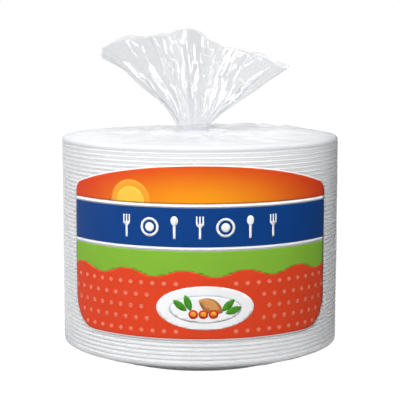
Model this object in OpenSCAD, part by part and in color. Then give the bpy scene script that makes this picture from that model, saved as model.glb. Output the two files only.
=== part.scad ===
// A retail pack of nested foam plates in a clear film bag.
// The bag hugs the stack, is gathered into a tied neck over the top plate,
// and opens out again above the neck as a pleated fan.
// A printed panel of plain colour fields lies on the front of the film.
// The origin is the centre of the base, +Z is up and the front faces -Y.

/* [Plates] */
// Number of plates in the pack
plate_count = 50; // [30:1:50]
// Outside diameter of a plate
plate_d = 225; // [200:1:250]
// Diameter of the flat foot under a plate
foot_d = 144; // [120:1:156]
// Height of one plate
plate_h = 18; // [15:0.5:22]
// Thickness of the foam
foam_t = 2.2; // [1.8:0.1:2.6]
// Steepness of the well's side, in degrees from the floor
side_angle = 47; // [40:1:52]
// Slope of the broad rim, in degrees
rim_angle = 12; // [6:1:15]
// Radius of the bends at the foot and at the rim, to the middle of the foam
bend_r = 6; // [3:0.5:8]
// Radius inside the turned-down edge
edge_in_r = 0.5; // [0.3:0.1:1]
// Rise of the floor inside the foot ring
floor_rise = 0.6; // [0.3:0.1:1]
// Width of the foot ring
foot_ring_w = 6; // [4:1:10]
// Gap between the sides of two nested plates
nest_gap = 0.05; // [0.03:0.01:0.2]
// Gap between a plate's turned-down edge and the crest of the plate below
edge_gap = 0.3; // [0.2:0.05:0.6]

/* [Bag] */
// Thickness of the film
film_t = 0.3; // [0.2:0.05:0.5]
// Clearance between the film and the plates' edges
film_gap = 0.25; // [0.15:0.05:0.6]
// Margin of flat film around the lowest plate's foot
base_margin = 1.5; // [1:0.5:4]
// Number of folds gathered into the neck
folds = 18; // [12:1:24]
// Depth of the folds halfway across the top
top_fold = 1.6; // [0.5:0.1:2]

/* [Neck] */
// Radius of the gathered neck
neck_r = 12; // [9:0.5:16]
// Height of the tie's middle above the top plate's rim
neck_rise = 4.5; // [4:0.5:12]
// Sideways place of the neck
neck_x = -6; // [-15:1:15]
// Depth of the folds at the neck
neck_fold = 0.8; // [0.4:0.1:1]
// Radius of the narrow hole left in the gathers
gather_hole_r = 3.5; // [2:0.5:5]
// Width of the tie
tie_w = 4; // [3:0.5:6]
// Thickness of the tie
tie_t = 0.7; // [0.5:0.1:1.2]
// Length of the tie's twisted ends
tie_tail = 14; // [8:1:20]

/* [Fan] */
// Length of film that stands above the neck
fan_l = 89; // [60:1:110]
// Lean of the fan at its two sides, in degrees from upright
fan_side_angle = 48; // [35:1:55]
// Lean of the fan at its front and back, in degrees from upright
fan_depth_angle = 23; // [15:1:35]
// Depth of the folds at the mouth
mouth_fold = 7; // [3:0.5:8]
// Share of the fan's length by which the right-hand corners are shorter
mouth_dip = 0.14; // [0:0.02:0.2]
// Share of the fan's length by which the mouth's edge is uneven
mouth_ragged = 0.02; // [0:0.01:0.03]

/* [Print] */
// Half of the printed panel's width, in degrees round the stack
print_angle = 59.5; // [45:0.5:75]
// Height of the panel's lower edge above the lowest plate's edge
print_lift = 18.6; // [10:0.1:30]
// Distance of the panel's top below the rim, at the middle of its arch
print_drop = 13.1; // [8:0.1:25]
// Thickness of one layer of ink
ink_t = 0.2; // [0.15:0.05:0.3]
// Clearance between the film's facets and the round layer of ink
ink_gap = 0.05; // [0.03:0.01:0.1]

/* [Artwork, drawn flat for a panel of its own height and fitted to the pack] */
// Height that the artwork is drawn for
art_h = 131; // [120:1:150]
// Rise of the panel's arched top
arch_rise = 18.5; // [8:0.5:22]
// Width of the white border
border_w = 1; // [0.5:0.5:4]
// Radius of the panel's top corners
top_corner_r = 10; // [5:1:14]
// Radius of the panel's bottom corners
low_corner_r = 25; // [8:1:28]
// Height of the dotted field
dotted_h = 50; // [44:1:54]
// Height of the wavy ribbon over the dotted field
ribbon_h = 17; // [12:1:20]
// Height of the ribbon's waves
wave_h = 2.5; // [1:0.5:4]
// Width of the two thin lines
line_w = 3; // [2:0.5:4]
// Height of the band between the lines
band_h = 29; // [24:1:32]
// Radius of a dot
dot_r = 1.7; // [1:0.1:2.2]
// Distance between dots in a row
dot_step = 9; // [8:0.5:12]
// Half of the pictured plate's width
dish_a = 37; // [28:1:42]
// Half of the pictured plate's height
dish_b = 16.5; // [12:0.5:19]
// Radius of the half sun in the upper field
sun_r = 17; // [10:1:20]

/* [Hidden] */
PLATE_NAMES = [for (k = [1 : plate_count]) str("plate_", k < 10 ? "0" : "", k)];
PRINT_NAMES = [
    "print_border", "print_red", "print_green", "print_grey",
    "print_blue", "print_dots", "print_white", "print_yellow"
];

foam_colour = [0.94, 0.94, 0.95];
film_colour = [0.85, 0.89, 0.92, 0.35];
tie_colour = [0.9, 0.92, 0.94];
white_ink = [0.97, 0.97, 0.97];
red_ink = [0.91, 0.33, 0.17];
green_ink = [0.52, 0.75, 0.27];
grey_ink = [0.72, 0.73, 0.76];
blue_ink = [0.09, 0.26, 0.54];
dot_ink = [0.96, 0.66, 0.56];
yellow_ink = [0.98, 0.72, 0.22];

// One plate's section, worked out along the middle of the foam
plate_r = plate_d / 2;
foot_r = foot_d / 2;
half_t = foam_t / 2;
pitch = (foam_t + nest_gap) / cos(side_angle);
edge_r = edge_in_r + half_t;
edge_fall = pitch - edge_gap - foam_t;
edge_angle = acos(1 - edge_fall / edge_r);
crest_r = plate_r - half_t - edge_r * sin(edge_angle);
crest_centre = [crest_r, plate_h - half_t - edge_r];
rim_end = crest_centre + edge_r * [-sin(rim_angle), cos(rim_angle)];
side_foot = [foot_r + bend_r * tan(side_angle / 2), half_t];
rim_corner_r = (
    rim_end[1] - half_t - rim_end[0] * tan(rim_angle) + side_foot[0] * tan(side_angle)
) / (tan(side_angle) - tan(rim_angle));
rim_corner = [rim_corner_r, half_t + (rim_corner_r - side_foot[0]) * tan(side_angle)];
lip_z = plate_h - foam_t - edge_fall;
bend_steps = 4;
edge_steps = 5;

// Heights of the stack
stack_base = film_t;
stack_lip = stack_base + lip_z;
stack_top = stack_base + (plate_count - 1) * pitch + plate_h;

// The film's radii allow for its flat facets, so that it clears the round plates
steps_per_fold = 4;
bag_steps = folds * steps_per_fold;
facet = cos(180 / bag_steps);
film_in_r = (plate_r + film_gap) / facet;
film_out_r = film_in_r + film_t;
base_in_r = (foot_r + base_margin) / facet;
base_out_r = base_in_r + film_t;
shoulder_in_r = film_in_r - crest_r;
shoulder_z = stack_top - edge_r - half_t + 2 * film_gap;
corner_z = stack_lip + half_t - 2 * film_gap - film_t;
top_z = shoulder_z + shoulder_in_r + film_t;
neck_mid = stack_top + neck_rise;
neck_low = neck_mid - tie_w / 2 - film_t;
neck_top = neck_mid + tie_w / 2 + film_t;
top_rise = neck_low - top_z;
crossings = [0.08, 0.22, 0.4, 0.58, 0.75, 0.9];
fan_stations = [0.05, 0.12, 0.22, 0.36, 0.52, 0.68, 0.84, 1];
fan_inner_from = 2;
fan_lag = 0.1;

// The panel's place on the film, and its artwork measured up from its lower edge
ink_r = film_out_r + ink_gap;
panel_low = stack_lip + print_lift;
panel_top = stack_top - print_drop;
art = (panel_top - panel_low) / art_h;
art_w = ink_r * print_angle * PI / 180 / art;
arch_r = (pow(art_w, 2) + pow(arch_rise, 2)) / (2 * arch_rise);
arch_y = art_h - arch_r;
line_y = dotted_h + ribbon_h;
band_y = line_y + line_w;
upper_line_y = band_y + band_h;
field_y = upper_line_y + line_w;
arc_steps = 6;
arch_steps = 18;
wave_steps = 48;
waves = 5;
dish_x = 4;
dish_y = dotted_h - dish_b - 9;
sun_x = -54;
icon_pitch = 19;
icon_count = 7;
icon_h = band_h - 12;

function along(a) = [cos(a), sin(a)];
function across(a) = [-sin(a), cos(a)];
function mix(a, b, t) = a + (b - a) * t;

// A bend from direction a0 to a1 about a corner, as points with their directions
function bend(corner, a0, a1, r) =
    let (way = sign(a1 - a0), run = r * tan(abs(a1 - a0) / 2))
    let (centre = corner - run * along(a0) + way * r * across(a0))
    [for (i = [0 : bend_steps])
        let (a = mix(a0, a1, i / bend_steps)) [centre - way * r * across(a), a]];

function foam_line() = concat(
    [[[0, half_t + floor_rise], 0]],
    [[[foot_r - foot_ring_w, half_t + floor_rise], 0]],
    [[[foot_r - foot_ring_w + 2 * floor_rise, half_t], 0]],
    bend(side_foot, 0, side_angle, bend_r),
    bend(rim_corner, side_angle, rim_angle, bend_r),
    [for (i = [0 : edge_steps])
        let (a = mix(rim_angle, -edge_angle, i / edge_steps))
        [crest_centre + edge_r * across(a), a]]
);

function plate_outline() =
    let (line = foam_line(), tip = line[len(line) - 1])
    concat(
        [for (p = line) p[0] + half_t * across(p[1])],
        [for (i = [1 : edge_steps - 1])
            tip[0] + half_t * across(tip[1] - 180 * i / edge_steps)],
        [for (i = [len(line) - 1 : -1 : 0]) line[i][0] - half_t * across(line[i][1])]
    );

module plate(k) {
    color(foam_colour)
    translate([0, 0, stack_base + (k - 1) * pitch])
    rotate_extrude($fn = 180)
    polygon(plate_outline());
}

// The film bag, built from rings of points that run up its outside, over the
// mouth of the fan, and back down its inside
function turn(i) = 360 * i / bag_steps;
function fold(i) =
    sin(90 * i) * (0.8 + 0.2 * sin(137 * floor(i / steps_per_fold)));

// One ring: radius, height, sideways place, fold depth, and lean of the film
function ring(r, z, x = 0, depth = 0, lean = 0) =
    [for (i = [0 : bag_steps - 1])
        let (d = depth * fold(i), reach = r + d * cos(lean))
        [x + reach * cos(turn(i)), reach * sin(turn(i)), z - d * sin(lean)]];

function shoulder(r) =
    [for (a = [0, 35, 65, 90]) ring(crest_r + r * cos(a), shoulder_z + r * sin(a))];

// The gathered top, from the shoulder at t = 0 to the neck at t = 1
function top_ring(t, drop) = ring(
    mix(crest_r, neck_r, t),
    top_z + top_rise * pow(t, 3) - drop,
    neck_x * t,
    mix(top_fold * sin(180 * t), neck_fold, pow(t, 4)),
    -90
);

// The fan leans out further at its sides than at its front and back
function fan_lean(a) =
    mix(fan_depth_angle, fan_side_angle, pow(cos(a), 4));
function right_side(a) = cos(a) > 0 ? pow(sin(2 * a), 2) : 0;
function fan_reach(a, i) =
    fan_l * (1 - mouth_dip * right_side(a) + mouth_ragged * sin(80 * i));
function fan_ring(s, inset) =
    [for (i = [0 : bag_steps - 1])
        let (a = turn(i) + 4 * s * sin(3 * turn(i) + 40))
        let (start = 1 - exp(-s / fan_lag), lean = fan_lean(a) * start)
        let (spread = (s - fan_lag * start) / (1 - fan_lag))
        let (d = mix(neck_fold, mouth_fold, s) * fold(i) - inset)
        let (reach = neck_r + fan_reach(a, i) * sin(fan_lean(a)) * spread)
        let (out = reach + d * cos(lean))
        [neck_x + out * cos(a), out * sin(a),
            neck_top + fan_reach(a, i) * cos(fan_lean(a)) * s - d * sin(lean)]];

function outer_rings() = concat(
    [ring(base_out_r, 0), ring(film_out_r, corner_z)],
    shoulder(shoulder_in_r + film_t),
    [for (t = crossings) top_ring(t, 0)],
    [ring(neck_r, neck_low, neck_x, neck_fold), ring(neck_r, neck_top, neck_x, neck_fold)],
    [for (s = fan_stations) fan_ring(s, 0)]
);

function inner_rings() = concat(
    [for (j = [len(fan_stations) - 1 : -1 : fan_inner_from])
        fan_ring(fan_stations[j], film_t)],
    [ring(gather_hole_r, neck_top, neck_x), ring(gather_hole_r, neck_low, neck_x)],
    [ring(neck_r / 2, neck_low - 2 * film_t, neck_x)],
    [for (j = [len(crossings) - 1 : -1 : 0]) top_ring(crossings[j], film_t)],
    [for (j = [3 : -1 : 0]) shoulder(shoulder_in_r)[j]],
    [ring(film_in_r, corner_z + film_t / 2), ring(base_in_r, film_t)]
);

module bag() {
    rings = concat(outer_rings(), inner_rings());
    centres = [[0, 0, 0], [0, 0, film_t]];
    points = concat([for (row = rings) each row], centres);
    last = len(rings) - 1;
    low = len(points) - 2;
    faces = concat(
        [for (i = [0 : bag_steps - 1]) [low, i, (i + 1) % bag_steps]],
        [for (j = [0 : last - 1], i = [0 : bag_steps - 1])
            let (a = j * bag_steps, b = a + bag_steps, n = (i + 1) % bag_steps)
            each [[a + i, b + i, b + n], [a + i, b + n, a + n]]],
        [for (i = [0 : bag_steps - 1])
            let (a = last * bag_steps) [low + 1, a + (i + 1) % bag_steps, a + i]]
    );
    color(film_colour)
    polyhedron(points, faces, convexity = 12);
}

module neck_tie() {
    tie_in_r = neck_r + neck_fold + film_t / 2;
    color(tie_colour)
    translate([neck_x, 0, neck_mid]) {
        difference() {
            cylinder(r = tie_in_r + tie_t, h = tie_w, center = true, $fn = 96);
            cylinder(r = tie_in_r, h = tie_w + 1, center = true, $fn = 96);
        }
        translate([0, tie_in_r + tie_t / 2, 0])
        rotate([-90, 0, 0])
        cylinder(d = tie_w / 2, h = tie_tail, $fn = 24);
    }
}

// Artwork is drawn flat, as on the unrolled film, then fitted and wrapped to the stack
function wrapped(points) =
    [for (p = points)
        [ink_r * sin(p[0] * art / ink_r * 180 / PI), panel_low + p[1] * art]];
function arc(centre, r, a0, a1, steps) =
    [for (i = [0 : steps]) centre + r * along(mix(a0, a1, i / steps))];

// The panel's outline, drawn in from its edge by inset
function panel_outline(inset) =
    let (w = art_w - inset, big = arch_r - inset)
    let (top_r = top_corner_r - inset, low_r = low_corner_r - inset)
    let (top_x = w - top_r, rise = sqrt(pow(big - top_r, 2) - pow(top_x, 2)))
    let (lean = atan2(rise, top_x))
    concat(
        arc([-w + low_r, low_corner_r], low_r, 180, 270, arc_steps),
        arc([w - low_r, low_corner_r], low_r, 270, 360, arc_steps),
        arc([top_x, arch_y + rise], top_r, 0, lean, arc_steps),
        arc([0, arch_y], big, lean, 180 - lean, arch_steps),
        arc([-top_x, arch_y + rise], top_r, 180 - lean, 180, arc_steps)
    );

// A level band of the panel between two heights
module band(low, high) {
    intersection() {
        polygon(wrapped(panel_outline(border_w)));
        translate([-ink_r, panel_low + low * art]) square([2 * ink_r, (high - low) * art]);
    }
}

// Everything under the wavy edge between the dotted field and the ribbon
module below_wave() {
    edge = [for (i = [0 : wave_steps])
        let (t = i / wave_steps)
        [mix(-art_w, art_w, t), dotted_h + wave_h * sin(360 * waves * t)]];
    polygon(wrapped(concat(edge, [[art_w, 0], [-art_w, 0]])));
}

// Ink of the given layer over a flat outline
module ink(layer) {
    in_r = ink_r + layer * ink_t;
    intersection() {
        difference() {
            cylinder(r = in_r + ink_t, h = stack_top, $fn = 240);
            translate([0, 0, -1]) cylinder(r = in_r, h = stack_top + 2, $fn = 240);
        }
        rotate([90, 0, 0]) linear_extrude(height = in_r + 2 * ink_t) children();
    }
}

// A small flat shape, stood on the film at a place in the artwork
module ink_spot(layer, x, y) {
    rotate([0, 0, x * art / ink_r * 180 / PI])
    translate([0, -ink_r - layer * ink_t, panel_low + y * art])
    rotate([90, 0, 0])
    linear_extrude(height = ink_t)
    scale(art) children();
}

module print_border() {
    color(white_ink) ink(0) difference() {
        polygon(wrapped(panel_outline(0)));
        polygon(wrapped(panel_outline(border_w)));
    }
}

module print_red() {
    color(red_ink) {
        ink(0) band(field_y, art_h);
        ink(0) intersection() {
            band(0, line_y);
            below_wave();
        }
        for (x = [-9, -1.5, 6]) ink_spot(2, dish_x + x, dish_y - 5) circle(r = 3.4, $fn = 32);
    }
}

module print_green() {
    color(green_ink) {
        ink(0) difference() {
            band(0, line_y);
            below_wave();
        }
        for (x = [-19, -13, 19]) ink_spot(2, dish_x + x, dish_y + 3)
            rotate(x < 0 ? 35 : -35) leaf(11, 4.4);
    }
}

module print_grey() {
    color(grey_ink) {
        ink(0) band(line_y, band_y);
        ink(0) band(upper_line_y, field_y);
    }
}

module print_blue() {
    color(blue_ink) ink(0) band(band_y, upper_line_y);
}

// Dots stand in offset rows, clear of the pictured plate and of the panel's edges
function dot_fits(x, y) =
    pow((x - dish_x) / (dish_a + dot_step / 2), 2)
        + pow((y - dish_y) / (dish_b + dot_step / 2), 2) > 1
    && norm([max(0, abs(x) - art_w + low_corner_r), max(0, low_corner_r - y)])
        < low_corner_r - border_w - dot_r;

module print_dots() {
    rows = floor((dotted_h - wave_h - 2 * border_w) / dot_step);
    half = floor(art_w / dot_step);
    color(dot_ink)
    for (j = [0 : rows - 1], i = [-half : half])
        let (x = (i + (j % 2) / 2) * dot_step, y = border_w + (j + 0.6) * dot_step)
        if (dot_fits(x, y)) ink_spot(1, x, y) circle(r = dot_r, $fn = 24);
}

// A pointed leaf, drawn as the overlap of two round discs
module leaf(l, w) {
    r = (pow(l, 2) + pow(w, 2)) / (4 * w);
    intersection() {
        translate([r - w / 2, 0]) circle(r = r, $fn = 64);
        translate([w / 2 - r, 0]) circle(r = r, $fn = 64);
    }
}

module fork_icon(h) {
    translate([-0.8, 0]) square([1.6, h / 2]);
    translate([-2.6, h / 2]) square([5.2, 2]);
    for (x = [-2.6, -0.6, 1.4]) translate([x, h / 2]) square([1.2, h / 2]);
}

module spoon_icon(h) {
    translate([-0.8, 0]) square([1.6, h * 0.7]);
    translate([0, h * 0.78]) scale([1, 1.5]) circle(r = h * 0.145, $fn = 32);
}

module bowl_icon(h) {
    difference() {
        translate([0, h / 2]) circle(r = h * 0.42, $fn = 48);
        translate([0, h / 2]) circle(r = h * 0.3, $fn = 48);
    }
}

module print_white() {
    color(white_ink) {
        for (i = [0 : icon_count - 1])
            ink_spot(1, (i - (icon_count - 1) / 2) * icon_pitch, band_y + (band_h - icon_h) / 2) {
                if (i % 3 == 0) fork_icon(icon_h);
                if (i % 3 == 1) bowl_icon(icon_h);
                if (i % 3 == 2) spoon_icon(icon_h);
            }
        ink(1) polygon(wrapped(
            [for (a = [0 : 10 : 350]) [dish_x + dish_a * cos(a), dish_y + dish_b * sin(a)]]
        ));
    }
}

module print_yellow() {
    color(yellow_ink) {
        ink(1) intersection() {
            polygon(wrapped(arc([sun_x, field_y], sun_r, 0, 350, 35)));
            band(field_y, art_h);
        }
        ink_spot(2, dish_x + 4, dish_y + 6.5) leaf(14, 8);
    }
}

for (k = [1 : plate_count]) plate(k);
bag();
neck_tie();
print_border();
print_red();
print_green();
print_grey();
print_blue();
print_dots();
print_white();
print_yellow();
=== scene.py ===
# %% [markdown]
# # A bagged stack of foam plates
# Fifty white foam plates sit nested in a clear film bag. The bag hugs their edges,
# is gathered to a neck over the top plate, and opens again above it as a crumpled fan.
# A panel of plain colour fields is printed on the front of the film.
#
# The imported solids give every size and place. The plates already have their true
# section there, so they stay and only get a foam material. The film, the tie and the
# print are soft or paper thin, so they are made again here as finer meshes.

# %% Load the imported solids
import math
from functools import partial

import bmesh
import bpy
import numpy as np
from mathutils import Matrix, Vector
from mathutils.geometry import delaunay_2d_cdt


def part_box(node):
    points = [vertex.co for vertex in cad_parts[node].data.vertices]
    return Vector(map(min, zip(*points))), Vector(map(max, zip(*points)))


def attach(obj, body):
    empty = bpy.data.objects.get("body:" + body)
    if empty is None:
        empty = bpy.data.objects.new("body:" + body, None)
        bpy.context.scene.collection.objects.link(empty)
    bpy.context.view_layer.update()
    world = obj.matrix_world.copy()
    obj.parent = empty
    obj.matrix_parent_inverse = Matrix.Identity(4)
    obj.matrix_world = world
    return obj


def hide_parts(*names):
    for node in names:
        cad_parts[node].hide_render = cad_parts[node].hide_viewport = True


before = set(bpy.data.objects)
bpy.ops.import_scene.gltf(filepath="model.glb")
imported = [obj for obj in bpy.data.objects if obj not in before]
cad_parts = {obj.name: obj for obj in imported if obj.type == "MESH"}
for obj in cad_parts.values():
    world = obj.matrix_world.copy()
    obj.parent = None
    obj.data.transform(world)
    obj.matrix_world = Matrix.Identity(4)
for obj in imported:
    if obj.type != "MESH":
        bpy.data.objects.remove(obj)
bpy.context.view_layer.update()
print("solids loaded:", len(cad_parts))

# %% [markdown]
# ## Sizes come from the solids
# Nothing here is measured twice. The stack's pitch is the step between the two lowest
# plates, and the film's wall lies just inside the bag's outer face. Only sizes that the
# solids don't carry, such as the depth of a crease in the film, are new values.

# %% Measure the stack
MM = 0.001
plate_low, plate_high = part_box("plate_01")
next_low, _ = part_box("plate_02")
_, stack_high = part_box("plate_50")
_, bag_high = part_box("bag")
tie_low, tie_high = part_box("neck_tie")
panel_low, panel_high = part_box("print_border")

FILM_INSET = 0.1 * MM
EDGE_GAP = 0.3 * MM
TIE_GAP, TIE_THICK = 0.85 * MM, 0.45 * MM
FOOT_R = 73.5 * MM

PITCH = next_low.z - plate_low.z
PLATE_R = (plate_high.x - plate_low.x) / 2
FILM_R = bag_high.y - FILM_INSET
EDGE_H = PITCH - EDGE_GAP
LOWEST_EDGE = plate_high.z - EDGE_H
STACK_TOP = stack_high.z
RIDGE_PHASE = LOWEST_EDGE + EDGE_H / 2
NECK_X = (tie_low.x + tie_high.x) / 2
NECK_Z = (tie_low.z + tie_high.z) / 2
TIE_W = tie_high.z - tie_low.z
NECK_R = (tie_high.x - tie_low.x) / 2 - TIE_GAP - TIE_THICK
PANEL_LOW, PANEL_TOP = panel_low.z, panel_high.z
print(f"pitch {PITCH / MM:.2f} mm, stack top {STACK_TOP / MM:.1f} mm")
print(f"film radius {FILM_R / MM:.1f} mm, neck radius {NECK_R / MM:.1f} mm")

# %% [markdown]
# ## Helpers
# Every finish is a small node tree. These helpers keep each recipe short: they make a
# material with its output node, add a node and set its plain sockets, and join, mix or
# calculate. The mesh helpers put an object in the scene, shade it smooth, and give a
# thin sheet its wall.


# %% Material helpers
def new_material(name, colour):
    material = bpy.data.materials.new(name)
    material.use_nodes = True
    material.diffuse_color = (*colour, 1)
    tree = material.node_tree
    tree.nodes.clear()
    return material, tree, add(tree, "OutputMaterial")


def add(tree, kind, settings=None, **sockets):
    node = tree.nodes.new("ShaderNode" + kind)
    for key, value in (settings or {}).items():
        setattr(node, key, value)
    for key, value in sockets.items():
        node.inputs[key.replace("_", " ")].default_value = value
    return node


def join(tree, source, output, target, name):
    tree.links.new(source.outputs[output], target.inputs[name])


def object_noise(tree, scale, detail=3.0):
    coordinates = add(tree, "TexCoord")
    noise = add(tree, "TexNoise", Scale=scale, Detail=detail)
    join(tree, coordinates, "Object", noise, "Vector")
    return noise


def colour_mix(tree, a, b):
    mix = add(tree, "Mix", {"data_type": "RGBA"})
    mix.inputs["A"].default_value = (*a, 1)
    mix.inputs["B"].default_value = (*b, 1)
    return mix


def feed(tree, node, values):
    """Gives each socket a number or a link from another node, and returns the result."""
    for socket, value in zip(node.inputs, values):
        if isinstance(value, (int, float)):
            socket.default_value = value
        elif value is not None:
            tree.links.new(value, socket)
    return node.outputs[0]


def math_node(tree, operation, a, b=None):
    return feed(tree, add(tree, "Math", {"operation": operation}), (a, b))


def shader_mix(tree, share, first, second):
    return feed(tree, add(tree, "MixShader"), (share, first, second))


# %% Mesh helpers
def add_object(name, data):
    piece = bpy.data.objects.new(name, data)
    bpy.context.scene.collection.objects.link(piece)
    return piece


def smooth_piece(name, verts, faces):
    mesh = bpy.data.meshes.new(name)
    mesh.from_pydata(verts, [], faces)
    mesh.polygons.foreach_set("use_smooth", [True] * len(faces))
    return add_object(name, mesh)


def thicken(piece, thickness):
    wall = piece.modifiers.new("thickness", "SOLIDIFY")
    wall.thickness = thickness
    wall.offset = -1


# %% [markdown]
# ## Foam
# Expanded foam is a crowd of tiny beads pressed together under a smooth skin. Seen
# close, the beads show as a faint cell pattern, and light goes a little way in before
# it comes back out. A Voronoi bump gives the beads, a slow noise varies the white, and
# a little subsurface light softens the edges.


# %% Foam material
def foam_material():
    material, tree, output = new_material("white_foam", (0.9, 0.9, 0.91))
    surface = add(
        tree,
        "BsdfPrincipled",
        Roughness=0.48,
        Subsurface_Weight=0.8,
        Subsurface_Radius=(1, 1, 1),
        Subsurface_Scale=0.003,
        Specular_IOR_Level=0.2,
    )
    coordinates = add(tree, "TexCoord")
    beads = add(tree, "TexVoronoi", Scale=520.0)
    cloud = object_noise(tree, 38.0, 2.0)
    tint = add(tree, "ValToRGB")
    tint.color_ramp.elements[0].color = (0.86, 0.865, 0.87, 1)
    tint.color_ramp.elements[1].color = (0.93, 0.93, 0.932, 1)
    bump = add(tree, "Bump", Strength=0.25, Distance=0.0001)
    join(tree, coordinates, "Object", beads, "Vector")
    join(tree, cloud, "Fac", tint, "Fac")
    join(tree, tint, "Color", surface, "Base Color")
    join(tree, beads, "Distance", bump, "Height")
    join(tree, bump, "Normal", surface, "Normal")
    join(tree, surface, "BSDF", output, "Surface")
    return material


FOAM = foam_material()
plates = [node for name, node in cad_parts.items() if name.startswith("plate_")]
for plate in plates:
    for slot in plate.material_slots:
        slot.material = FOAM
print("plates in foam:", len(plates))

# %% [markdown]
# ## Clear film
# Packing film hardly has a colour. What the eye sees is its gloss, and a thin haze
# where many layers lie over each other, as in the gathered neck. So the film mixes
# three things: clear transparency, a little white haze, and a reflection that grows at
# a slant. Three attributes on the mesh steer them: "haze" is the share of white haze,
# the crowding value dims the haze and the clear film where layers lie over each other,
# and on the rounded shoulder over the rim it is painted shade that tones down the
# bright band the lamps light there, and "rough" makes the reflection soft and faint on
# the plates and sharp in the loose fan.


# %% Film material
# Each pair runs from open film to crowded film. On the rim's shoulder the darker tone is painted
# shade.
CLEAR_TONES = (0.985, 0.986, 0.989), (0.956, 0.958, 0.963)
MILK_TONES = (0.93, 0.934, 0.942), (0.83, 0.838, 0.85)
FACING_MIRROR, ROUGH_DULLS = 0.034, 0.1
SLANT_MIRROR, SLANT_POWER = 0.34, 4.0


def film_material():
    material, tree, output = new_material("clear_film", (0.86, 0.9, 0.93))
    haze_share, crowd_and_shade, rough = (
        add(tree, "Attribute", {"attribute_name": label}).outputs["Fac"]
        for label in ("haze", "crowd_and_shade", "rough")
    )
    tone = colour_mix(tree, *CLEAR_TONES)
    milk = colour_mix(tree, *MILK_TONES)
    clear = add(tree, "BsdfTransparent")
    front = add(tree, "BsdfDiffuse")
    through = add(tree, "BsdfTranslucent")
    gloss = add(tree, "BsdfGlossy", Color=(1, 1, 1, 1))
    slant = add(tree, "LayerWeight", Blend=0.5)
    steep = math_node(tree, "POWER", slant.outputs["Facing"], SLANT_POWER)
    steep = math_node(tree, "MULTIPLY", steep, SLANT_MIRROR)
    dulled = math_node(tree, "MULTIPLY", rough, ROUGH_DULLS)
    reflect = math_node(tree, "ADD", steep, math_node(tree, "SUBTRACT", FACING_MIRROR, dulled))
    bump = add(tree, "Bump", Strength=0.08, Distance=0.0003)
    # The crowding value darkens both tones. On the rim's shoulder this is painted shade.
    tree.links.new(crowd_and_shade, tone.inputs["Factor"])
    tree.links.new(crowd_and_shade, milk.inputs["Factor"])
    join(tree, milk, "Result", front, "Color")
    join(tree, milk, "Result", through, "Color")
    tree.links.new(rough, gloss.inputs["Roughness"])
    join(tree, tone, "Result", clear, "Color")
    tree.links.new(object_noise(tree, 70.0).outputs["Fac"], bump.inputs["Height"])
    join(tree, bump, "Normal", gloss, "Normal")
    haze = shader_mix(tree, 0.5, front.outputs["BSDF"], through.outputs["BSDF"])
    soft = shader_mix(tree, haze_share, clear.outputs["BSDF"], haze)
    shine = shader_mix(tree, reflect, soft, gloss.outputs["BSDF"])
    tree.links.new(shine, output.inputs["Surface"])
    return material


FILM = film_material()
print("film material ready")

# %% [markdown]
# ## Ink
# Each ink is a strong plain colour with a faint, fairly smooth sheen. A slow noise
# keeps a field from looking like one flat number, and a second colour can fade in
# across the field, as a printer blends two inks.


# %% Ink materials
INK_DARK, INK_LIGHT = 0.93, 1.05
GLOW_SQUEEZE = (1, 0.4, 3)


def ink_material(name, colour, second=None, centre=(0, 0, 0), spread=1.0):
    material, tree, output = new_material(name, colour)
    surface = add(tree, "BsdfPrincipled", Roughness=0.38, Specular_IOR_Level=0.09)
    noise = object_noise(tree, 60.0)
    dark, light = [c * INK_DARK for c in colour], [min(1, c * INK_LIGHT) for c in colour]
    vary = colour_mix(tree, dark, light)
    join(tree, noise, "Fac", vary, "Factor")
    result = vary.outputs["Result"]
    if second:
        coordinates = add(tree, "TexCoord")
        apart = add(tree, "VectorMath", {"operation": "SUBTRACT"})
        apart.inputs[1].default_value = centre
        squeezed = add(tree, "VectorMath", {"operation": "MULTIPLY"})
        squeezed.inputs[1].default_value = GLOW_SQUEEZE
        away = add(tree, "VectorMath", {"operation": "LENGTH"})
        fade = add(tree, "MapRange", {"interpolation_type": "SMOOTHSTEP"})
        fade.inputs["From Max"].default_value = spread
        fade.inputs["To Min"].default_value = 1
        fade.inputs["To Max"].default_value = 0
        blend = colour_mix(tree, colour, second)
        join(tree, coordinates, "Object", apart, 0)
        join(tree, apart, "Vector", squeezed, 0)
        join(tree, squeezed, "Vector", away, 0)
        join(tree, away, "Value", fade, "Value")
        join(tree, fade, "Result", blend, "Factor")
        tree.links.new(result, blend.inputs["A"])
        result = blend.outputs["Result"]
    tree.links.new(result, surface.inputs["Base Color"])
    join(tree, surface, "BSDF", output, "Surface")
    return material


GLOW = (0, -FILM_R, PANEL_TOP - 30 * MM)
RED = ink_material("red_ink", (0.64, 0.044, 0.012), (0.84, 0.30, 0.010), GLOW, 0.11)
CORAL = ink_material("coral_ink", (0.67, 0.055, 0.017))
DOT = ink_material("dot_ink", (0.73, 0.19, 0.12))
GREEN = ink_material("green_ink", (0.205, 0.425, 0.038))
LEAF = ink_material("leaf_ink", (0.06, 0.26, 0.022))
BLUE = ink_material("blue_ink", (0.004, 0.045, 0.205))
WHITE = ink_material("white_ink", (0.84, 0.84, 0.85))
YELLOW = ink_material("yellow_ink", (0.88, 0.50, 0.06))
GOLD = ink_material("gold_ink", (0.85, 0.32, 0.03))
BROWN = ink_material("brown_ink", (0.40, 0.16, 0.045))
CRUST = ink_material("crust_ink", (0.62, 0.30, 0.10))
SHADE = ink_material("shade_ink", (0.55, 0.57, 0.61))
TOMATO = ink_material("tomato_ink", (0.58, 0.03, 0.02))
print("ink materials ready")

# %% [markdown]
# ## Ridges in the film
# The film is pulled against fifty plate edges and dips a hair between them. The print
# lies on the film, so it has to dip in the same places. One Geometry Nodes tree does
# this for both: it moves each point in or out along its radius, by a wave that repeats
# with the plates' pitch, and adds a slow noise for the slack in the film.


# %% Geometry Nodes helpers
SOCKET_KINDS = {float: "Float", int: "Int", type(None): "Material"}


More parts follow.
